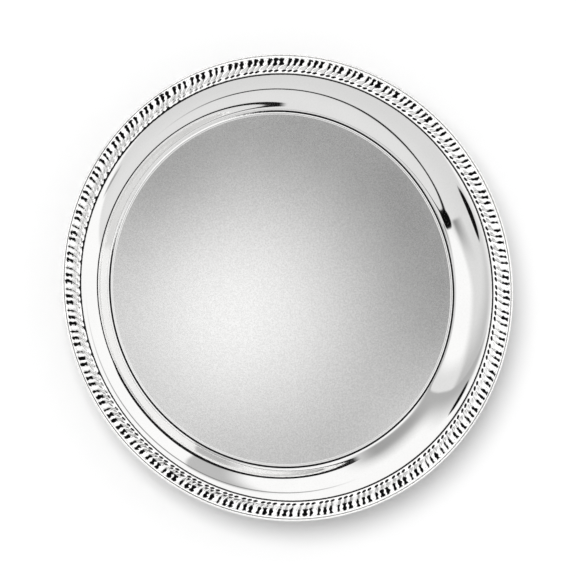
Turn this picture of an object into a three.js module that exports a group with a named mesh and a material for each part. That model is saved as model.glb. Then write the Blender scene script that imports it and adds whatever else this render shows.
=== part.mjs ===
// A round silver salver. A spun tray plate carries a gadrooned border, soldered on in four cast
// sections, and a plain edge wire that binds the outer edge. Four cast cabriole feet stand under
// the floor, each on its own soldered foot plate.
// Millimetres, +Z up. The origin is on the table, under the middle of the tray.
import * as THREE from "three";

// Driving dimensions
const OUTER_RADIUS = 152.4;
const SHEET = 1.2;
const FLOOR_UNDERSIDE = 13;
const SOLDER_GAP = 0.05;
const RING_SEGMENTS = 96;

// The top surface from the rim of the flat floor outwards: [radius, slope in degrees]. The side
// rises in a tight hollow, then rounds over and flattens towards the border.
const FLOOR_RADIUS = 117;
const SIDE = [
  [FLOOR_RADIUS, 0],
  [118.2, 40],
  [120.8, 45.5],
  [123, 43],
  [125, 38.5],
  [129, 31.5],
  [134.4, 19],
  [139.3, 10],
];
const FLANGE_RADIUS = 150.85;
const FLANGE_SLOPE = 11;

// Border: groups of three lobes, two narrow and one wide
const BORDER_INNER = 139.6;
const BORDER_OUTER = 150.7;
const BORDER_SECTIONS = 4;
const GROUPS_PER_SECTION = 17;
const LOBE_SHARES = [0.3, 0.3, 0.4];
// Turn of the first section's start, in degrees
const BORDER_START = -2.1;
// At each radius, the height above the flange on a lobe's crest and in the groove beside it, and
// how far in degrees the lobes have leaned round
const RELIEF = [
  { radius: BORDER_INNER + 0.2, crest: 0.7, groove: 0.7, lean: 0 },
  { radius: 142.4, crest: 1.1, groove: 0.8, lean: 0.8 },
  { radius: 145, crest: 2.5, groove: 0.9, lean: 1.5 },
  { radius: 148.6, crest: 2.5, groove: 0.9, lean: 1.8 },
  { radius: BORDER_OUTER, crest: 0.9, groove: 0.7, lean: 1.9 },
];

// Edge wire: an oval section, taller than it is wide
const WIRE_WIDTH = 1.4;
const WIRE_HEIGHT = 2.6;
const WIRE_SIDES = 8;

// Feet
const FOOT_COUNT = 4;
const FOOT_SIDES = 16;
const FOOT_PLATE_THICKNESS = 0.8;
const FOOT_PLATE_RADIUS = 109.5;
const FOOT_PLATE_HALF_LENGTH = 6.9;
const FOOT_PLATE_HALF_WIDTH = 8.4;
const FOOT_PLATE_SIDES = 24;
const FOOT_TOP = FLOOR_UNDERSIDE - FOOT_PLATE_THICKNESS - 2 * SOLDER_GAP;
// Oval sections from the toe to the knee: height as a share of the foot, distance of the middle
// from the salver's axis, and half sizes along and across the radius
const FOOT_SECTIONS = [
  { share: 0, middle: 115.2, along: 3.9, across: 3.9 },
  { share: 0.08, middle: 115.2, along: 4.6, across: 4.6 },
  { share: 0.2, middle: 114.6, along: 3.9, across: 4 },
  { share: 0.33, middle: 113.4, along: 2.8, across: 3.1 },
  { share: 0.5, middle: 112.6, along: 3, across: 3.3 },
  { share: 0.7, middle: 111.8, along: 4.4, across: 4.8 },
  { share: 0.88, middle: 110.5, along: 6, across: 6.5 },
  { share: 1, middle: 109.5, along: 6.4, across: 7.6 },
];

const FLOOR_TOP = FLOOR_UNDERSIDE + SHEET;
const TURN = 2 * Math.PI;

const silver = (color, roughness) =>
  new THREE.MeshStandardMaterial({ color, roughness, metalness: 1 });
const traySilver = silver(0xdcdddb, 0.18);
const borderSilver = silver(0xd2d3d1, 0.12);
const footSilver = silver(0xcfd0ce, 0.2);

// Height of the top surface at each radius of SIDE, by adding up the mean slope of each stretch
function sideHeights() {
  const heights = [FLOOR_TOP];
  for (let i = 1; i < SIDE.length; i++) {
    const [r0, slope0] = SIDE[i - 1];
    const [r1, slope1] = SIDE[i];
    const mean = THREE.MathUtils.degToRad((slope0 + slope1) / 2);
    heights.push(heights[i - 1] + (r1 - r0) * Math.tan(mean));
  }
  return heights;
}

const SIDE_HEIGHTS = sideHeights();
const FLANGE_START = SIDE_HEIGHTS[SIDE_HEIGHTS.length - 1];
const FLANGE_RISE = Math.tan(THREE.MathUtils.degToRad(FLANGE_SLOPE));

// Height of the flange's top surface, a cone that carries the border
function flangeTop(radius) {
  return FLANGE_START + (radius - SIDE[SIDE.length - 1][0]) * FLANGE_RISE;
}

// Closed surface over rings of equal length, with both end rings capped by triangulating the
// outline. A ring runs anticlockwise when seen from the last ring.
function loft(rings, outline) {
  const count = rings[0].length;
  const positions = rings.flat().flatMap((p) => [p.x, p.y, p.z]);
  const index = [];
  for (let i = 0; i + 1 < rings.length; i++) {
    for (let j = 0; j < count; j++) {
      const a = i * count + j;
      const b = i * count + ((j + 1) % count);
      index.push(a, b, b + count, a, b + count, a + count);
    }
  }
  const last = (rings.length - 1) * count;
  for (const [a, b, c] of THREE.ShapeUtils.triangulateShape(outline, [])) {
    index.push(a, c, b, last + a, last + b, last + c);
  }
  const geometry = new THREE.BufferGeometry();
  geometry.setAttribute("position", new THREE.Float32BufferAttribute(positions, 3));
  geometry.setIndex(index);
  return geometry;
}

function named(name, geometry, material) {
  const mesh = new THREE.Mesh(geometry, material);
  mesh.name = name;
  return mesh;
}

// Lathe about the vertical axis from [radius, height] points
function turned(points) {
  const profile = points.map(([radius, height]) => new THREE.Vector2(radius, height));
  const geometry = new THREE.LatheGeometry(profile, RING_SEGMENTS);
  return geometry.rotateX(Math.PI / 2);
}

// The plate's underside keeps one sheet thickness, measured square to the top surface
function trayPlate() {
  const stations = SIDE.map(([radius, slope], i) => [radius, slope, SIDE_HEIGHTS[i]]);
  stations.push([FLANGE_RADIUS, FLANGE_SLOPE, flangeTop(FLANGE_RADIUS)]);
  const top = stations.map(([radius, , height]) => [radius, height]);
  const under = stations.map(([radius, slope, height], i) => {
    const angle = THREE.MathUtils.degToRad(slope);
    const outwards = i === stations.length - 1 ? 0 : SHEET * Math.sin(angle);
    return [radius + outwards, height - SHEET * Math.cos(angle)];
  });
  const outline = [[0, FLOOR_UNDERSIDE], ...under, ...top.reverse(), [0, FLOOR_TOP]];
  return named("tray_plate", turned(outline), traySilver);
}

// One border section: a closed section of the relief, swept round its share of the rim
function borderSection(number) {
  const span = TURN / BORDER_SECTIONS;
  const start = span * (number - 1) + THREE.MathUtils.degToRad(BORDER_START);
  const endGap = SOLDER_GAP / 2 / BORDER_INNER;
  const groupSpan = span / GROUPS_PER_SECTION;
  const steps = [];
  for (let group = 0; group < GROUPS_PER_SECTION; group++) {
    let from = start + group * groupSpan;
    for (const share of LOBE_SHARES) {
      steps.push({ angle: from, level: "groove" });
      steps.push({ angle: from + (share * groupSpan) / 2, level: "crest" });
      from += share * groupSpan;
    }
  }
  steps[0].angle += endGap;
  steps.push({ angle: start + span - endGap, level: "groove" });

  const section = (level) => [
    [BORDER_OUTER, SOLDER_GAP, RELIEF[RELIEF.length - 1].lean],
    ...[...RELIEF].reverse().map((station) => [station.radius, station[level], station.lean]),
    [BORDER_INNER, SOLDER_GAP, RELIEF[0].lean],
  ];
  const rings = steps.reverse().map(({ angle, level }) =>
    section(level).map(([radius, height, lean]) => {
      const at = angle - THREE.MathUtils.degToRad(lean);
      const z = flangeTop(radius) + height;
      return new THREE.Vector3(radius * Math.cos(at), radius * Math.sin(at), z);
    }),
  );
  const outline = section("groove").map(([radius, height]) => new THREE.Vector2(radius, height));
  return named(`border_section_${number}`, loft(rings, outline), borderSilver);
}

function edgeWire() {
  const middle = OUTER_RADIUS - WIRE_WIDTH / 2;
  const height = flangeTop(FLANGE_RADIUS) + SOLDER_GAP;
  const points = [];
  for (let i = 0; i <= WIRE_SIDES; i++) {
    const angle = (TURN * i) / WIRE_SIDES;
    const radius = middle + (WIRE_WIDTH / 2) * Math.cos(angle);
    points.push([radius, height + (WIRE_HEIGHT / 2) * Math.sin(angle)]);
  }
  points[WIRE_SIDES] = points[0];
  return named("edge_wire", turned(points), borderSilver);
}

// A foot stands on the +X side, and its group turns it to its place
function foot(number) {
  const rings = FOOT_SECTIONS.map(({ share, middle, along, across }) => {
    const ring = [];
    for (let i = 0; i < FOOT_SIDES; i++) {
      const angle = (TURN * i) / FOOT_SIDES;
      const x = middle + along * Math.cos(angle);
      ring.push(new THREE.Vector3(x, across * Math.sin(angle), share * FOOT_TOP));
    }
    return ring;
  });
  const outline = rings[0].map((p) => new THREE.Vector2(p.x, p.y));
  return named(`foot_${number}`, loft(rings, outline), footSilver);
}

function footPlate(number) {
  const shape = new THREE.Shape();
  shape.absellipse(0, 0, FOOT_PLATE_HALF_LENGTH, FOOT_PLATE_HALF_WIDTH, 0, TURN, false, 0);
  const geometry = new THREE.ExtrudeGeometry(shape, {
    depth: FOOT_PLATE_THICKNESS,
    bevelEnabled: false,
    curveSegments: FOOT_PLATE_SIDES,
  });
  const plate = named(`foot_plate_${number}`, geometry, footSilver);
  plate.position.set(FOOT_PLATE_RADIUS, 0, FLOOR_UNDERSIDE - SOLDER_GAP - FOOT_PLATE_THICKNESS);
  return plate;
}

const salver = new THREE.Group();
salver.name = "salver";
salver.add(trayPlate(), edgeWire());
for (let number = 1; number <= BORDER_SECTIONS; number++) {
  salver.add(borderSection(number));
}
for (let number = 1; number <= FOOT_COUNT; number++) {
  const corner = new THREE.Group();
  corner.rotation.z = (TURN * (number - 0.5)) / FOOT_COUNT;
  corner.add(foot(number), footPlate(number));
  salver.add(corner);
}

export default salver;
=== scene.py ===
"""A round silver salver on a white table under soft studio light. Metres, +Z up."""

import math

import bpy
import numpy as np
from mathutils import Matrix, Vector


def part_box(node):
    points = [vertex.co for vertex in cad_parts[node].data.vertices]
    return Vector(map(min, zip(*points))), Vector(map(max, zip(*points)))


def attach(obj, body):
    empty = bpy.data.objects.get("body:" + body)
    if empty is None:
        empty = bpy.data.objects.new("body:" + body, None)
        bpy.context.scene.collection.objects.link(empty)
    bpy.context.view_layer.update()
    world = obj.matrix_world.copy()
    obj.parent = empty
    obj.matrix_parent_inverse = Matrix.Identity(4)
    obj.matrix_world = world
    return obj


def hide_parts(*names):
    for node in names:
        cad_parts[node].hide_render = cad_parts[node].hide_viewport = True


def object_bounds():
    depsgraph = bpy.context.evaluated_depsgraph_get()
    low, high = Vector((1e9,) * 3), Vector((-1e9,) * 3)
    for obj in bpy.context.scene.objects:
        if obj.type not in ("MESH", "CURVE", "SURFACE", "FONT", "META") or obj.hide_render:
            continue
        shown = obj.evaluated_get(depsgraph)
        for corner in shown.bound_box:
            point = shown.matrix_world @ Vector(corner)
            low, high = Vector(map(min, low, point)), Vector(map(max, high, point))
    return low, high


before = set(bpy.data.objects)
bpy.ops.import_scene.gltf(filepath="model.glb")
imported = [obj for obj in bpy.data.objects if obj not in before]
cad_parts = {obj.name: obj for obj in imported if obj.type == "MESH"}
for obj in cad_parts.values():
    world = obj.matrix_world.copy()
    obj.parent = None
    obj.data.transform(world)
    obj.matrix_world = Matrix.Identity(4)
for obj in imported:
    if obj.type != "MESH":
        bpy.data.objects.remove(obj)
cad_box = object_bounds()

MM = 0.001
TURN = 2 * math.pi

# The salver's driving dimensions, in millimetres as in the CAD source
OUTER_RADIUS = cad_box[1].x / MM
SHEET = 1.2
FLOOR_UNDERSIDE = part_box("tray_plate")[0].z / MM
FLANGE_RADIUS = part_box("tray_plate")[1].x / MM
FLANGE_EDGE_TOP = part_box("tray_plate")[1].z / MM
FLANGE_SLOPE = math.radians(11)
FLOOR_TOP = FLOOR_UNDERSIDE + SHEET
FLOOR_RADIUS = 117
SIDE_OUTER = 139.3
SIDE_RADII = [FLOOR_RADIUS, 118, 119.4, 121, 123.2, 125, 129, 134.4, SIDE_OUTER]
SIDE_SLOPES = [0, 41.5, 44, 44.2, 41.4, 37.2, 31.3, 19, 10]
FLANGE_START = FLANGE_EDGE_TOP - (FLANGE_RADIUS - SIDE_OUTER) * math.tan(FLANGE_SLOPE)
SOLDER_GAP = 0.05

# Fine detail at the floor's rim: the satin finish stops, then a bead, then a crease darkened with
# painted shade
SATIN_RADIUS = 114.3
BEAD_RADIUS = 115.1
CREASE_RADIUS = 116.5

# The border's driving dimensions
BORDER_INNER = 139.6
BORDER_OUTER = 150.7
BORDER_SECTIONS = 4
GROUPS_PER_SECTION = 17
LOBE_SHARES = [0.3, 0.3, 0.4]
BORDER_START = math.radians(-2.1)
LEAN_RADII = [BORDER_INNER, 140.2, 142.4, 145, 148.6, BORDER_OUTER]
LEAN_ANGLES = [0, 0.05, 0.8, 1.5, 1.8, 1.9]
LOBE_STEPS = 20

# Feet, as in the CAD source: share of the height, middle, half sizes along and across the radius
FOOT_COUNT = 4
FOOT_PLATE_RADIUS = 109.5
FOOT_SECTIONS = [
    (0, 115.2, 3.9, 3.9),
    (0.08, 115.2, 4.6, 4.6),
    (0.2, 114.6, 3.9, 4),
    (0.33, 113.4, 2.8, 3.1),
    (0.5, 112.6, 3, 3.3),
    (0.7, 111.8, 4.4, 4.8),
    (0.88, 110.5, 6, 6.5),
    (1, 109.5, 6.4, 7.6),
]

RING_STEPS = 480


# ---------------------------------------------------------------- meshes


def mesh_piece(name, points, faces, material, stands_for, attributes=None):
    """A smooth-shaded piece from points in millimetres and faces."""
    mesh = bpy.data.meshes.new(name)
    mesh.from_pydata((np.asarray(points) * MM).tolist(), [], [list(f) for f in faces])
    for label, values in (attributes or {}).items():
        layer = mesh.attributes.new(label, "FLOAT", "POINT")
        layer.data.foreach_set("value", np.asarray(values, np.float32).ravel())
    mesh.polygons.foreach_set("use_smooth", np.ones(len(mesh.polygons), bool))
    mesh.materials.append(material)
    mesh.update()
    piece = bpy.data.objects.new(name, mesh)
    bpy.context.scene.collection.objects.link(piece)
    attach(piece, "root")
    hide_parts(*stands_for)
    return piece


def smooth_blend(x, low, high):
    t = np.clip((np.asarray(x, float) - low) / (high - low), 0, 1)
    return t * t * (3 - 2 * t)


def dome(t, power=2.0, fullness=0.5):
    """1 in the middle, 0 at -1 and 1."""
    return np.clip(1 - np.abs(t) ** power, 0, 1) ** fullness


def grid_faces(rows, count, closed_rows, closed_count):
    """Quads over a grid of points stored row by row."""
    faces = []
    for i in range(rows if closed_rows else rows - 1):
        here, there = i * count, ((i + 1) % rows) * count
        for j in range(count if closed_count else count - 1):
            k = (j + 1) % count
            faces.append((here + j, there + j, there + k, here + k))
    return faces


def turned(profile):
    """Points of a profile of (radius, height) turned about the vertical axis."""
    profile = np.asarray(profile, float)
    angles = np.arange(RING_STEPS) * TURN / RING_STEPS
    x = profile[:, 0] * np.cos(angles)[:, None]
    y = profile[:, 0] * np.sin(angles)[:, None]
    return np.stack([x, y, np.broadcast_to(profile[:, 1], x.shape)], -1).reshape(-1, 3)


# ---------------------------------------------------------------- tray plate


def side_profile(radii, softness=0.7):
    """Slope and height of the top surface at the given radii, from the floor to the flange.

    The slopes are evened out over a short distance, so that reflections bend without a kink.
    """
    fine = np.linspace(FLOOR_RADIUS - 3, SIDE_OUTER + 3, 3000)
    slopes = np.interp(fine, SIDE_RADII, SIDE_SLOPES)
    step = fine[1] - fine[0]
    reach = int(3 * softness / step)
    kernel = np.exp(-0.5 * (np.arange(-reach, reach + 1) * step / softness) ** 2)
    padded = np.pad(slopes, reach, mode="edge")
    slopes = np.convolve(padded, kernel / kernel.sum(), mode="valid")
    slopes = slopes * smooth_blend(fine, FLOOR_RADIUS - 0.5, FLOOR_RADIUS + 0.5)
    heights = np.concatenate([[0], np.cumsum(np.tan(np.radians(slopes[:-1])) * step)])
    at_edge = np.interp(SIDE_OUTER, fine, heights)
    heights *= (FLANGE_START - FLOOR_TOP) / at_edge
    return np.radians(np.interp(radii, fine, slopes)), FLOOR_TOP + np.interp(radii, fine, heights)


def make_tray(material):
    floor_radii = np.linspace(4, 113.8, 24, endpoint=False)
    rim_radii = np.arange(113.8, FLOOR_RADIUS + 0.3, 0.11)
    side_radii = np.linspace(FLOOR_RADIUS + 0.4, SIDE_OUTER, 64)
    flange_radii = np.linspace(SIDE_OUTER, FLANGE_RADIUS, 12)[1:]
    inner = np.concatenate([floor_radii, rim_radii, side_radii])
    slopes, heights = side_profile(inner)
    slopes[inner < FLOOR_RADIUS - 0.6] = 0
    heights[inner < FLOOR_RADIUS - 0.6] = FLOOR_TOP
    top_r = np.concatenate([inner, flange_radii])
    top_slope = np.concatenate([slopes, 0 * flange_radii + FLANGE_SLOPE])
    top_z = np.concatenate([heights, flange_top(flange_radii)])
    under_r = top_r + SHEET * np.sin(top_slope)
    under_r[-1] = top_r[-1]
    under_z = top_z - SHEET * np.cos(top_slope)
    bead = 0.08 * smooth_blend(dome((top_r - BEAD_RADIUS) / 0.75, 2, 1), 0, 1)
    crease = 0.16 * smooth_blend(dome((top_r - CREASE_RADIUS) / 0.6, 2, 1), 0, 1)
    top_z = top_z + bead - crease
    keep = np.concatenate([np.arange(0, len(under_r) - 1, 3), [len(under_r) - 1]])
    profile = np.concatenate(
        [np.stack([top_r, top_z], 1), np.stack([under_r, under_z], 1)[keep][::-1]]
    )
    points = turned(profile)
    count = len(profile)
    faces = [tuple(reversed(f)) for f in grid_faces(RING_STEPS, count, True, False)]
    middle_top, middle_under = len(points), len(points) + 1
    points = np.concatenate([points, [[0, 0, FLOOR_TOP], [0, 0, FLOOR_UNDERSIDE]]])
    for i in range(RING_STEPS):
        here, there = i * count, ((i + 1) % RING_STEPS) * count
        faces.append((middle_top, here, there))
        faces.append((middle_under, there + count - 1, here + count - 1))

    # satin where it is 1, polished where it is 0, and rougher underneath
    on_top = np.arange(count) < len(top_r)
    inside = 1 - smooth_blend(profile[:, 0], SATIN_RADIUS - 0.15, SATIN_RADIUS + 0.15)
    satin = np.where(on_top, inside, 1.3)
    satin = np.append(np.tile(satin, RING_STEPS), [1, 1.3])
    # painted shade in the crease, left out on one side as if lit there, and a dark joint along the
    # border's solder
    angles = np.arange(RING_STEPS) * TURN / RING_STEPS
    # the side where the painted shade in the crease is left out, as if lit there
    side_mask = smooth_blend(np.cos(angles - math.radians(CREASE_LIT_SIDE)), 0.72, 0.97)
    line = smooth_blend(dome((profile[:, 0] - CREASE_RADIUS) / 0.75, 2, 1), 0.1, 0.55)
    joint = smooth_blend(profile[:, 0], SIDE_OUTER - 0.75, SIDE_OUTER - 0.35)
    dark = np.clip(line[None, :] * (1 - side_mask[:, None]) + joint, 0, 1) * on_top
    dark = np.append(dark.ravel(), [0, 0])
    return mesh_piece(
        "tray_plate_fine",
        points,
        faces,
        material,
        ["tray_plate"],
        {"satin": satin, "dark_joints_and_painted_shade": dark},
    )


# ---------------------------------------------------------------- border


def flange_top(radius):
    return FLANGE_START + (radius - SIDE_OUTER) * math.tan(FLANGE_SLOPE)


class Grooves:
    """Shape of the dark stroke painted along the groove beside each lobe: painted shade and dark
    reflection that change from side to side, and uneven at random from groove to groove.
    """

    def __init__(self):
        count = BORDER_SECTIONS * GROUPS_PER_SECTION * len(LOBE_SHARES)
        chance = np.random.default_rng(12)
        angles = np.arange(count + 1) * TURN / count

        def towards(degrees, low, high):
            return smooth_blend(np.cos(angles - math.radians(degrees)), low, high)

        first = np.arange(count + 1) % len(LOBE_SHARES) == 0
        jitter = 1 + 0.16 * chance.standard_normal(count + 1)
        # sides where the painted strokes are bolder, wider or end elsewhere, as the light falls there
        bold = towards(100, 0.45, 0.85)
        side_mask = towards(262, 0.45, 0.85)
        leading = 0.4 + 0.85 * bold + 0.4 * side_mask + 0.3 * towards(10, 0.3, 0.8)
        following = 0.84 + 0.4 * side_mask + 0.2 * towards(110, 0.8, 0.95)
        self.half_width = np.clip(np.where(first, leading, following) * jitter, 0.28, 1.75)
        self.inner_end = 145.4 - 0.9 * towards(62, 0.6, 0.9) - 0.8 * towards(290, 0.6, 0.95)
        self.inner_end += 0.25 * chance.standard_normal(count + 1)
        self.outer_end = 149.4 + 0.75 * towards(165, 0.4, 0.8) + 0.6 * towards(352, 0.85, 0.98)
        self.outer_end += 0.15 * chance.standard_normal(count + 1)
        self.toothed = towards(TOOTHED_SIDE, 0.45, 0.8)
        self.foot = self.toothed * chance.uniform(0, 1, count + 1) ** 1.5
        self.bend = chance.uniform(-0.35, 0.35, count + 1)
        self.phase = chance.uniform(0, TURN, count + 1)
        # the painted dark stroke at the groove's outer end hooks sideways, clockwise on one side and
        # back on another
        way = towards(212, 0.5, 0.7) - towards(100, 0.5, 0.75)
        self.hook = np.where(first, 0.0, way * chance.uniform(1.3, 2.3, count + 1))
        for values in vars(self).values():
            values[-1] = values[0]


# Height above the flange of the border's ground, and of a lobe's crest above that
BASE_RADII = [
    *[BORDER_INNER, 139.85, 140.3, 140.75, 141, 142.2, 143.2],
    *[144.4, 145.2, 149.1, 149.8, 150.3, BORDER_OUTER],
]
BASE_HEIGHTS = [0.3, 0.62, 0.72, 0.5, 0.45, 0.6, 0.75, 0.85, 0.6, 0.6, 1.0, 1.05, 0.8]
CREST_RADII = [141.9, 143, 144.4, 145.4, 146.5, 148.6, 149.8]
CREST_HEIGHTS = [0, 0.5, 1.15, 1.7, 1.85, 1.85, 1.85]


def lobe_relief(radius, across, offset, grooves, nearest):
    """Height above the flange and darkness of the border. The darkness is painted shade and dark
    reflection, with a thin dark line along the joint in the inner corner.

    across runs from -1 in the groove before a lobe to 1 in the groove after it, and offset is
    the signed distance in millimetres from the nearest groove.
    """
    end = np.clip((radius - 148.3) / (149.85 - 148.3), 0, 1)
    base = np.interp(radius, BASE_RADII, BASE_HEIGHTS)
    crest = np.interp(radius, CREST_RADII, CREST_HEIGHTS, right=0)
    height = base + crest * dome(np.sqrt(across**2 + end**2), 2.4, 0.6)
    # a dimple at the inner end of each groove, and a low scallop between two of them
    dimple = 1 - np.sqrt((offset / 1.75) ** 2 + ((radius - 141.35) / 0.85) ** 2)
    dimple = smooth_blend(dimple, 0, 0.3)
    height = height + 0.2 * dome(across, 2, 0.5) * dome((radius - 141.5) / 0.7) - 0.3 * dimple

    # the painted dark stroke in the groove wanders and swells along its length
    phase = grooves.phase[nearest]
    bend = grooves.bend[nearest] * np.sin(1.3 * (radius - 144) + phase)
    half_width = grooves.half_width[nearest] * (1 + 0.28 * np.sin(2.1 * (radius - 144) + 2 * phase))
    away = np.abs(offset - bend)
    outside = 1 - smooth_blend(radius - grooves.outer_end[nearest], -0.25, 0.25)
    window = smooth_blend(radius - grooves.inner_end[nearest], -0.35, 0.35) * outside
    stroke = smooth_blend(half_width - away, -0.16, 0.16) * window
    # a thin painted dark line down the middle of the groove
    line = 0.6 * smooth_blend(0.34 - away, 0, 0.2) * smooth_blend(radius, 142, 142.4) * outside
    # painted dark hooks that curl over the lobe from the groove's ends
    side = grooves.hook[nearest]
    reached = offset * np.sign(side) / np.maximum(np.abs(side), 0.3)
    tapered = smooth_blend(reached, -0.2, 0) * (1 - smooth_blend(reached, 0.8, 1))
    tapered = (np.abs(side) > 0.3) * tapered
    curl = np.clip(reached, 0, 1) ** 2
    middle = grooves.outer_end[nearest] - 0.55 - 0.8 * curl
    outer_hook = smooth_blend(0.55 - np.abs(radius - middle), -0.12, 0.12)
    inner_hook = smooth_blend(0.4 - np.abs(radius - 146 - 0.6 * curl), -0.12, 0.12) * (side > 0)
    hook = tapered * np.maximum(outer_hook, inner_hook)
    # a thin dark line along the joint in the inner corner, and painted shade that climbs from it in
    # teeth into the grooves
    corner = 139.5 + 0.35 * grooves.toothed[nearest]
    corner = corner + 1.6 * grooves.foot[nearest] * np.abs(across) ** 1.3
    foot = 1 - smooth_blend(radius - corner, -0.1, 0.15)
    # painted shade in the dimple at the inner end of each groove, lighter on the side where the teeth
    # are
    dot = dimple * (1 - 0.55 * grooves.toothed[nearest])
    dark = np.maximum.reduce([stroke, line, hook, dot, foot])
    return height, np.clip(dark, 0, 1)


def make_border_section(number, material, grooves):
    span = TURN / BORDER_SECTIONS
    start = span * (number - 1) + BORDER_START
    group_span = span / GROUPS_PER_SECTION
    shares = LOBE_SHARES * GROUPS_PER_SECTION
    lobes = len(shares)
    t = np.tile(np.arange(LOBE_STEPS) / LOBE_STEPS, lobes)
    lobe = np.repeat(np.arange(lobes), LOBE_STEPS)
    starts = start + group_span * np.concatenate([[0], np.cumsum(shares)])
    t, lobe = np.append(t, 1.0), np.append(lobe, lobes - 1)
    widths = np.asarray(shares)[lobe] * group_span
    angles = starts[lobe] + t * widths
    gap = SOLDER_GAP / 2 / BORDER_INNER
    angles[0] += gap
    angles[-1] -= gap

    radii = np.concatenate(
        [
            np.linspace(BORDER_INNER, 142.2, 16),
            np.linspace(142.2, 148.2, 14)[1:],
            np.linspace(148.2, BORDER_OUTER, 17)[1:],
        ]
    )
    grid_r, grid_t = np.meshgrid(radii, t)
    offset = np.where(grid_t > 0.5, grid_t - 1, grid_t) * widths[:, None] * grid_r
    nearest = (number - 1) * lobes + lobe + (t > 0.5)
    height, dark = lobe_relief(grid_r, 2 * grid_t - 1, offset, grooves, nearest[:, None])
    lean = np.radians(np.interp(radii, LEAN_RADII, LEAN_ANGLES))
    grid_angle = angles[:, None] - lean[None, :]
    top = np.stack(
        [grid_r * np.cos(grid_angle), grid_r * np.sin(grid_angle), flange_top(grid_r) + height], -1
    )
    ends = [0, len(radii) - 1]
    bottom = top[:, ends].copy()
    bottom[:, :, 2] = flange_top(radii[ends]) + SOLDER_GAP
    ring = np.concatenate([bottom[:, :1], top, bottom[:, 1:]], 1)
    ring_dark = np.concatenate([np.ones_like(dark[:, :1]), dark, dark[:, -1:]], 1)
    steps, count = ring.shape[:2]
    faces = grid_faces(steps, count, False, True)
    faces.append(tuple(range(count)))
    faces.append(tuple((steps - 1) * count + j for j in range(count))[::-1])
    return mesh_piece(
        f"gadroon_border_{number}",
        ring.reshape(-1, 3),
        faces,
        material,
        [f"border_section_{number}"],
        {"dark_joints_and_painted_shade": ring_dark},
    )


# ---------------------------------------------------------------- edge wire and feet


def make_edge_wire(material, width=1.4, height=2.6, sides=20):
    angles = np.arange(sides) * TURN / sides
    middle = OUTER_RADIUS - width / 2
    level = flange_top(FLANGE_RADIUS) + SOLDER_GAP
    profile = np.stack(
        [middle + width / 2 * np.cos(angles), level + height / 2 * np.sin(angles)], 1
    )
    faces = grid_faces(RING_STEPS, sides, True, True)
    return mesh_piece(
        "edge_wire_fine", turned(profile), faces, material, ["edge_wire"]
    )


def through(x, xs, ys):
    """Smooth curve through a table of values."""
    xs, ys = np.asarray(xs, float), np.asarray(ys, float)
    slopes = np.gradient(ys, xs)
    i = np.clip(np.searchsorted(xs, x, side="right") - 1, 0, len(xs) - 2)
    span = xs[i + 1] - xs[i]
    t = (x - xs[i]) / span
    return (
        (2 * t**3 - 3 * t**2 + 1) * ys[i]
        + (t**3 - 2 * t**2 + t) * span * slopes[i]
        + (3 * t**2 - 2 * t**3) * ys[i + 1]
        + (t**3 - t**2) * span * slopes[i + 1]
    )


def placed(points, number):
    """Points of a foot that stands on the +X side, turned to its own corner."""
    turn = TURN * (number - 0.5) / FOOT_COUNT
    x, y, z = np.moveaxis(points, -1, 0)
    return np.stack(
        [x * math.cos(turn) - y * math.sin(turn), x * math.sin(turn) + y * math.cos(turn), z], -1
    )


def capped_rings(rings):
    """Points and faces of rings from the bottom up, closed at both ends by a middle point."""
    steps, sides = rings.shape[:2]
    points = np.concatenate([rings.reshape(-1, 3), [rings[0].mean(0), rings[-1].mean(0)]])
    faces = [tuple(reversed(f)) for f in grid_faces(steps, sides, False, True)]
    last = (steps - 1) * sides
    for j in range(sides):
        k = (j + 1) % sides
        faces.append((steps * sides, k, j))
        faces.append((steps * sides + 1, last + j, last + k))
    return points, faces


def make_foot(number, material, steps=44, sides=56):
    """A cast foot: a ball toe, a slim ankle, and a knee with reeds that fade out downwards."""
    foot_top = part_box(f"foot_{number}")[1].z / MM
    shares = np.linspace(0, 1, steps)
    table = np.array(FOOT_SECTIONS)
    middle, along, across = (through(shares, table[:, 0], table[:, k]) for k in (1, 2, 3))
    angles = np.arange(sides) * TURN / sides
    reeds = 0.5 + 0.5 * np.cos(8 * angles)
    on_knee = smooth_blend(shares, 0.5, 0.72) * (1 - smooth_blend(shares, 0.93, 0.98))
    shrink = 1 - 0.07 * on_knee[:, None] * (1 - reeds[None, :])
    rings = np.stack(
        [
            middle[:, None] + along[:, None] * np.cos(angles) * shrink,
            across[:, None] * np.sin(angles) * shrink,
            np.broadcast_to((shares * foot_top)[:, None], shrink.shape),
        ],
        -1,
    )
    # painted shade in the hollows between the reeds and round the slim ankle under the knee
    hollow = on_knee[:, None] * smooth_blend(1 - reeds, 0.55, 1)[None, :]
    ankle = 0.45 * dome((shares - 0.36) / 0.16, 2, 1)[:, None] + 0 * hollow
    dark = np.append(np.clip(np.maximum(hollow, ankle), 0, 1).ravel(), [0, 0])
    points, faces = capped_rings(rings)
    return mesh_piece(
        f"foot_{number}_fine",
        placed(points, number),
        faces,
        material,
        [f"foot_{number}"],
        {"dark_joints_and_painted_shade": 0.8 * dark},
    )


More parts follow.
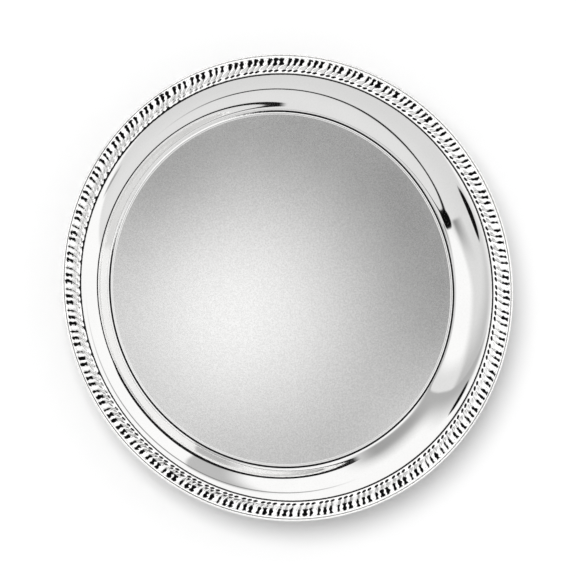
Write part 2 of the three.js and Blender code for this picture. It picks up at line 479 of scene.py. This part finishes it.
def make_foot_plate(number, material, half_length=6.9, half_width=8.4, sides=64):
    """The soldered plate on top of a foot, an oval with a rounded edge and a dark solder line."""
    low, high = (corner.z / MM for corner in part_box(f"foot_plate_{number}"))
    edge = 0.25
    bend = np.linspace(-90, 90, 11)
    inset = edge * (1 - np.cos(np.radians(bend)))
    level = np.where(bend < 0, low + edge, high - edge) + edge * np.sin(np.radians(bend))
    inset = np.concatenate([[2.2], inset, [2.2]])
    level = np.concatenate([[low], level, [high]])
    angles = np.arange(sides) * TURN / sides
    rings = np.stack(
        [
            FOOT_PLATE_RADIUS + (half_length - inset)[:, None] * np.cos(angles),
            (half_width - inset)[:, None] * np.sin(angles),
            np.broadcast_to(level[:, None], (len(level), sides)),
        ],
        -1,
    )
    dark = smooth_blend(level, high - 0.3, high)[:, None] + 0 * angles
    points, faces = capped_rings(rings)
    return mesh_piece(
        f"foot_plate_{number}_fine",
        placed(points, number),
        faces,
        material,
        [f"foot_plate_{number}"],
        {"dark_joints_and_painted_shade": np.append(0.7 * dark.ravel(), [0, 0])},
    )


# ---------------------------------------------------------------- materials


def silver(name, roughness, grain, grain_scale, bump):
    """Silver with a fine grain in its tone, slightly uneven roughness, a shallow bump, and dark marks
    that are dark joints and painted shade.

    The dark marks come from the mesh, and are broken up a little so that their edges are uneven.
    """
    material = bpy.data.materials.new(name)
    material.use_nodes = True
    tree = material.node_tree
    nodes, links = tree.nodes, tree.links
    shader = nodes["Principled BSDF"]
    shader.inputs["Metallic"].default_value = 1
    place = nodes.new("ShaderNodeTexCoord")
    s = Shades(tree, place.outputs["Object"])

    fine = s.noise(grain_scale, 2)
    broad = s.noise(35, 3)
    tone = s.ramp(fine, 0.3, 0.7, 1 - grain, 1)
    tone = s.math("MULTIPLY", tone, s.ramp(broad, 0.35, 0.65, 0.985, 1))
    clean = nodes.new("ShaderNodeMix")
    clean.data_type = "RGBA"
    clean.inputs[6].default_value = (0, 0, 0, 1)
    clean.inputs[7].default_value = (0.955, 0.952, 0.945, 1)
    links.new(tone, clean.inputs[0])

    layer = nodes.new("ShaderNodeAttribute")
    layer.attribute_name = "dark_joints_and_painted_shade"
    broken = s.ramp(s.noise(1400, 2), 0.3, 0.7, -0.22, 0.22)
    amount = s.math("ADD", layer.outputs["Fac"], s.both(broken, s.rise(layer.outputs["Fac"])))
    amount = s.ramp(amount, 0.12, 0.8)
    # near-black colour for the dark joints and the painted shade
    joint_and_shade_colour = nodes.new("ShaderNodeMix")
    joint_and_shade_colour.data_type = "RGBA"
    joint_and_shade_colour.inputs[7].default_value = (0.012, 0.012, 0.013, 1)
    links.new(clean.outputs[2], joint_and_shade_colour.inputs[6])
    links.new(amount, joint_and_shade_colour.inputs[0])
    links.new(joint_and_shade_colour.outputs[2], shader.inputs["Base Color"])

    rough = s.ramp(broad, 0.3, 0.7, roughness * 0.9, roughness * 1.1)
    links.new(s.mix(amount, rough, JOINT_AND_SHADE_ROUGHNESS), shader.inputs["Roughness"])
    relief = nodes.new("ShaderNodeBump")
    relief.inputs["Strength"].default_value = 1
    relief.inputs["Distance"].default_value = bump
    links.new(fine, relief.inputs["Height"])
    links.new(relief.outputs["Normal"], shader.inputs["Normal"])
    return material


def tray_material():
    """Polished side and flange, satin floor, brushed underside, from the satin attribute."""
    material = silver("tray_silver_fine", POLISHED_ROUGHNESS, 0.02, 900, 2e-7)
    nodes, links = material.node_tree.nodes, material.node_tree.links
    shader = nodes["Principled BSDF"]
    place = nodes.new("ShaderNodeTexCoord")
    s = Shades(material.node_tree, place.outputs["Object"])
    layer = nodes.new("ShaderNodeAttribute")
    layer.attribute_name = "satin"
    satin = layer.outputs["Fac"]
    polished = shader.inputs["Roughness"].links[0].from_socket
    rough = s.math("MULTIPLY_ADD", satin, SATIN_ROUGHNESS - POLISHED_ROUGHNESS, polished)
    links.new(rough, shader.inputs["Roughness"])
    # the satin's own speckle
    plain = shader.inputs["Base Color"].links[0].from_socket
    speckle = s.ramp(s.noise(1150, 3), 0.32, 0.68, 0.86, 1)
    speckle = s.mix(satin, 1.0, speckle)
    tinted = nodes.new("ShaderNodeVectorMath")
    tinted.operation = "SCALE"
    links.new(plain, tinted.inputs[0])
    links.new(speckle, tinted.inputs["Scale"])
    links.new(tinted.outputs[0], shader.inputs["Base Color"])
    return material


# ---------------------------------------------------------------- stage, light and camera


def make_floor():
    """The white table."""
    mesh = bpy.data.meshes.new("table_top")
    reach = 8
    corners = [(-reach, -reach, 0), (reach, -reach, 0), (reach, reach, 0), (-reach, reach, 0)]
    mesh.from_pydata(corners, [], [(0, 1, 2, 3)])
    floor = bpy.data.objects.new("table_top", mesh)
    bpy.context.scene.collection.objects.link(floor)
    material = bpy.data.materials.new("white_table")
    material.use_nodes = True
    shader = material.node_tree.nodes["Principled BSDF"]
    shader.inputs["Base Color"].default_value = (0.9, 0.9, 0.9, 1)
    shader.inputs["Roughness"].default_value = 0.9
    shader.inputs["Specular IOR Level"].default_value = 0
    mesh.materials.append(material)


def direction(zenith, azimuth):
    """Unit vector towards a point of the studio, from its angles in degrees."""
    z, a = math.radians(zenith), math.radians(azimuth)
    return Vector((math.sin(z) * math.cos(a), math.sin(z) * math.sin(a), math.cos(z)))


def edge(first, second):
    """Normal of the plane through the salver and a straight panel edge between two directions."""
    return direction(*first).cross(direction(*second)).normalized()


class Shades:
    """Short forms for shader nodes that work on one vector."""

    def __init__(self, tree, vector):
        self.tree, self.vector = tree, vector

    def vector_math(self, operation, other):
        node = self.tree.nodes.new("ShaderNodeVectorMath")
        node.operation = operation
        node.inputs[1].default_value = other
        self.tree.links.new(self.vector, node.inputs[0])
        return node.outputs["Value"]

    def along(self, axis):
        return self.vector_math("DOT_PRODUCT", axis)

    def distance(self, point):
        return self.vector_math("DISTANCE", point)

    def noise(self, scale, detail):
        node = self.tree.nodes.new("ShaderNodeTexNoise")
        node.inputs["Scale"].default_value = scale
        node.inputs["Detail"].default_value = detail
        self.tree.links.new(self.vector, node.inputs["Vector"])
        return node.outputs["Fac"]

    def ramp(self, value, low, high, start=0.0, end=1.0):
        """start up to low, end from high on, and a smooth step between them."""
        node = self.tree.nodes.new("ShaderNodeMapRange")
        node.interpolation_type = "SMOOTHSTEP"
        limits = {"From Min": low, "From Max": high, "To Min": start, "To Max": end}
        for name, number in limits.items():
            node.inputs[name].default_value = number
        self.tree.links.new(value, node.inputs["Value"])
        return node.outputs["Result"]

    def rise(self, value):
        """0 at 0, and 1 from a small value up."""
        return self.ramp(value, 0, 0.15)

    def strip(self, value, middle, half_width, soft):
        """1 within the half width of the middle and 0 outside, with a soft edge."""
        away = self.math("ABSOLUTE", self.math("SUBTRACT", value, middle))
        return self.ramp(away, half_width - soft, half_width + soft, 1, 0)

    def math(self, operation, *values):
        """One math node on numbers and sockets."""
        node = self.tree.nodes.new("ShaderNodeMath")
        node.operation = operation
        for socket, value in zip(node.inputs, values):
            if isinstance(value, (int, float)):
                socket.default_value = value
            else:
                self.tree.links.new(value, socket)
        return node.outputs[0]

    def mix(self, factor, low, high):
        """low where factor is 0, high where it is 1."""
        span = self.math("SUBTRACT", high, low)
        return self.math("MULTIPLY_ADD", span, factor, low)

    def both(self, *masks):
        """1 where every mask is 1."""
        made = masks[0]
        for mask in masks[1:]:
            made = self.math("MULTIPLY", made, mask)
        return made


# Sides in degrees where painted shade follows the light: the painted shade in the crease is left out
# on the first, as if lit there, and the painted shade of the border's inner corner climbs in teeth on
# the second
CREASE_LIT_SIDE = 133
TOOTHED_SIDE = 165
# Roughness of the polished side, of the satin floor and of the dark marks, which are dark joints and
# painted shade
POLISHED_ROUGHNESS = 0.04
SATIN_ROUGHNESS = 0.121
JOINT_AND_SHADE_ROUGHNESS = 0.45

# Lights: direction, and the width of the source in degrees
KEY_FROM = direction(28, 155)
KEY_WIDTH = 32
BORDER_LIGHT_WIDTH = 100

# The studio round the salver, as (zenith, azimuth) in degrees of the ends of each panel edge
WHITE = 1.02
FRONT_LEFT = edge((66, 203), (28, 205))
FRONT_RIGHT = edge((46.5, 349.5), (82.3, 357))
BACK_LEFT = edge((75, 133), (35, 133.4))
BAND_RIGHT = edge((48, 43.8), (84, 48.5))
# Holes: direction, the angles at which they are fully dark and gone, and the tone inside
HOLES = [
    (direction(18.8, 205.5), 4.3, 5.4, 0.004),
    (direction(24.2, 115.5), 2.6, 3.5, 0.004),
    (direction(69.8, 204.6), 3.4, 4.5, 0.004),
    (direction(45.5, 348), 0.6, 3, 0.35),
]
# What matt surfaces receive from all round
AMBIENT = 0.65
# Graded card over the tray: its height in mm, half size and faded edge in metres, its dark tone,
# and soft blobs as (x, y, reach) in mm where the floor mirrors them, and strength
CARD_HEIGHT = 850
CARD_HALF_SIZE = 0.24
CARD_FADE = (0.153, 0.179)
CARD_DARK = 0.06
CARD_BLOBS = [(-34, -16, 110, 1.05), (132, -124, 60, 1.1), (-105, 80, 56, -0.25)]


def make_world():
    """A white tent with grey panels, thin gaps between them and holes such as the lens's."""
    world = bpy.data.worlds.new("studio")
    world.use_nodes = True
    tree = world.node_tree
    place = tree.nodes.new("ShaderNodeTexCoord")
    s = Shades(tree, place.outputs["Generated"])
    up = s.along((0, 0, 1))
    east = s.along((1, 0, 0))
    west = s.along((-1, 0, 0))
    soft = 0.012

    past_front = s.along(FRONT_LEFT)
    past_back = s.along(BACK_LEFT)
    front = s.both(
        s.ramp(past_front, -soft, soft, 1, 0), s.ramp(s.along(FRONT_RIGHT), -0.02, 0.02, 1, 0)
    )
    front_tone = s.ramp(up, 0.3, 0.95, 0.8, 0.73)

    # left panel: grey overhead and near both its edges, with a smudge beside the front panel
    lowered = s.math("ADD", up, s.ramp(past_front, 0, 0.42, 0.24, 0))
    left_tone = s.ramp(lowered, 0.53, 0.69, WHITE, 0.76)
    smudge = s.both(
        s.ramp(past_front, 0, 0.26, 0.85, 0),
        s.ramp(lowered, 0.62, 0.75),
        s.ramp(lowered, 0.76, 1.0, 1, 0),
    )
    left_tone = s.mix(smudge, left_tone, 0.24)
    left_tone = s.mix(s.ramp(past_back, -0.26, -0.08), left_tone, 0.8)
    haze = s.both(s.ramp(past_back, -0.36, -0.02), s.ramp(up, 0.6, 0.74))
    left_tone = s.mix(haze, left_tone, 0.55)
    open_side = s.mix(s.ramp(east, -0.3, 0), left_tone, WHITE)

    # back panel: grey low down near its left edge, and along that edge
    corner = s.both(s.ramp(up, 0.14, 0.64, 1, 0), s.ramp(west, -0.02, 0.24))
    back_tone = s.mix(corner, WHITE, 0.38)
    margin = s.both(s.ramp(past_back, 0.03, 0.26, 1, 0), s.ramp(west, 0.1, 0.2))
    back_tone = s.mix(margin, back_tone, 0.46)
    # a grey band with one sharp edge
    past_band = s.along(BAND_RIGHT)
    band = s.both(
        s.ramp(past_band, -0.008, 0.008),
        s.ramp(past_band, 0.12, 0.27, 1, 0),
        s.ramp(up, 0.68, 0.75, 1, 0),
    )
    back_tone = s.mix(band, back_tone, 0.53)
    tone = s.mix(s.ramp(past_back, -soft, soft), open_side, back_tone)
    tone = s.mix(front, tone, front_tone)

    # seams: along the front panel, over the grey band, and from there to the second hole
    south = s.along(direction(90, 274))
    seam_level = s.math("MULTIPLY_ADD", south, -0.56, up)
    seam = s.both(
        s.strip(seam_level, 0.152, 0.027, 0.01),
        s.ramp(south, 0.1, 0.25),
        s.ramp(east, 0.45, 0.8, 1, 0),
    )
    tone = s.mix(seam, tone, 0.01)
    north_east = s.along(direction(90, 48))
    seam = s.both(s.strip(up, 0.675, 0.016, 0.012), s.ramp(north_east, 0.56, 0.72))
    tone = s.mix(seam, tone, 0.25)

    # dark strip near the horizon, wider on one side; a ray that has been reflected once has
    # depth 2, and the strip is left out of all later reflections
    level = s.math("MULTIPLY_ADD", s.along(direction(90, 300)), -0.078, up)
    aside = s.along(direction(90, 112))
    wide = s.ramp(aside, -0.02, 0.06)
    top = s.mix(wide, 0.09, s.ramp(aside, 0.05, 0.5, 0.128, 0.182))
    bottom = s.mix(wide, 0.036, -0.03)
    rays = tree.nodes.new("ShaderNodeLightPath")
    horizon = s.both(
        s.ramp(s.math("SUBTRACT", top, level), -0.003, 0.003),
        s.ramp(s.math("SUBTRACT", level, bottom), -0.003, 0.003),
        s.ramp(s.along(direction(90, 11)), 0.05, 0.11),
        s.ramp(rays.outputs["Ray Depth"], 2.2, 2.8, 1, 0),
    )
    tone = s.mix(horizon, tone, 0.01)
    for towards, inner, outer, inside in HOLES:
        limits = (math.cos(math.radians(outer)), math.cos(math.radians(inner)))
        tone = s.mix(s.ramp(s.along(towards), *limits), tone, inside)

    tone = s.mix(rays.outputs["Is Diffuse Ray"], tone, AMBIENT)
    tone = s.mix(rays.outputs["Is Camera Ray"], tone, 1.0)
    tree.links.new(tone, tree.nodes["Background"].inputs["Color"])
    bpy.context.scene.world = world


def make_overhead_card():
    """A graded card that the satin floor mirrors. Its edge fades out, and only glossy rays see it."""
    # metres on the card for a millimetre on the floor that mirrors it
    spread = (1 + CARD_HEIGHT * MM / DISTANCE) * MM
    size = CARD_HALF_SIZE
    mesh = bpy.data.meshes.new("overhead_card")
    corners = [(-size, -size, 0), (size, -size, 0), (size, size, 0), (-size, size, 0)]
    mesh.from_pydata(corners, [], [(3, 2, 1, 0)])
    card = bpy.data.objects.new("overhead_card", mesh)
    bpy.context.scene.collection.objects.link(card)
    mirrored = direction(TILT, SIDEWAYS - 180)
    card.location = Vector((0, 0, FLOOR_TOP * MM)) + mirrored * (CARD_HEIGHT * MM / mirrored.z)
    material = bpy.data.materials.new("graded_card")
    material.use_nodes = True
    tree = material.node_tree
    tree.nodes.remove(tree.nodes["Principled BSDF"])
    place = tree.nodes.new("ShaderNodeTexCoord")
    s = Shades(tree, place.outputs["Object"])
    glow = CARD_DARK
    for x, y, reach, strength in CARD_BLOBS:
        away = s.distance((x * spread, y * spread, 0))
        away = s.math("DIVIDE", away, reach * spread)
        falloff = s.math("EXPONENT", s.math("MULTIPLY", s.math("POWER", away, 2), -1))
        glow = s.math("MULTIPLY_ADD", falloff, strength, glow)
    emission = tree.nodes.new("ShaderNodeEmission")
    tree.links.new(glow, emission.inputs["Strength"])
    clear = tree.nodes.new("ShaderNodeBsdfTransparent")
    blend = tree.nodes.new("ShaderNodeMixShader")
    tree.links.new(s.ramp(s.distance((0, 0, 0)), *CARD_FADE), blend.inputs["Fac"])
    tree.links.new(emission.outputs[0], blend.inputs[1])
    tree.links.new(clear.outputs[0], blend.inputs[2])
    tree.links.new(blend.outputs[0], tree.nodes["Material Output"].inputs["Surface"])
    mesh.materials.append(material)
    card.visible_camera = False
    card.visible_diffuse = False
    card.visible_shadow = False


def make_border_light(pieces):
    """A broad light from above that only the border and the edge wire receive."""
    data = bpy.data.lights.new("border_light", "SUN")
    data.energy = 0.95
    data.angle = math.radians(BORDER_LIGHT_WIDTH)
    lamp = bpy.data.objects.new("border_light", data)
    bpy.context.scene.collection.objects.link(lamp)
    receivers = bpy.data.collections.new("border_pieces")
    for piece in pieces:
        receivers.objects.link(piece)
    lamp.light_linking.receiver_collection = receivers


def make_key_light():
    """The light that throws the soft shadow. Reflections don't show it."""
    data = bpy.data.lights.new("key", "SUN")
    data.energy = 1.8
    data.angle = math.radians(KEY_WIDTH)
    lamp = bpy.data.objects.new("key", data)
    bpy.context.scene.collection.objects.link(lamp)
    lamp.rotation_mode = "QUATERNION"
    lamp.rotation_quaternion = KEY_FROM.to_track_quat("Z", "Y")
    lamp.visible_glossy = False


# The camera looks down on the tray from the left
TILT = 17
SIDEWAYS = 198
DISTANCE = 4.0
LENS = 383.8
AIM = Vector((3.4 * MM, 0.6 * MM, FLOOR_TOP * MM))


def make_camera():
    data = bpy.data.cameras.new("camera")
    data.sensor_width = 36
    data.lens = LENS
    camera = bpy.data.objects.new("camera", data)
    bpy.context.scene.collection.objects.link(camera)
    back = direction(TILT, SIDEWAYS)
    camera.location = AIM + back * DISTANCE
    camera.rotation_mode = "QUATERNION"
    camera.rotation_quaternion = Vector((0, 0, 1)).rotation_difference(back)
    bpy.context.scene.camera = camera


border_silver = silver("border_silver_fine", 0.1, 0.03, 1600, 3e-6)
wire_silver = silver("wire_silver_fine", 0.12, 0.03, 1600, 2e-6)
foot_silver = silver("foot_silver_fine", 0.2, 0.05, 1300, 8e-6)
make_tray(tray_material())
grooves = Grooves()
rim_pieces = [make_edge_wire(wire_silver)]
for number in range(1, BORDER_SECTIONS + 1):
    rim_pieces.append(make_border_section(number, border_silver, grooves))
for number in range(1, FOOT_COUNT + 1):
    make_foot(number, foot_silver)
    make_foot_plate(number, foot_silver)
make_floor()
make_world()
make_overhead_card()
make_key_light()
make_border_light(rim_pieces)
make_camera()
bpy.context.scene.view_settings.view_transform = "Standard"
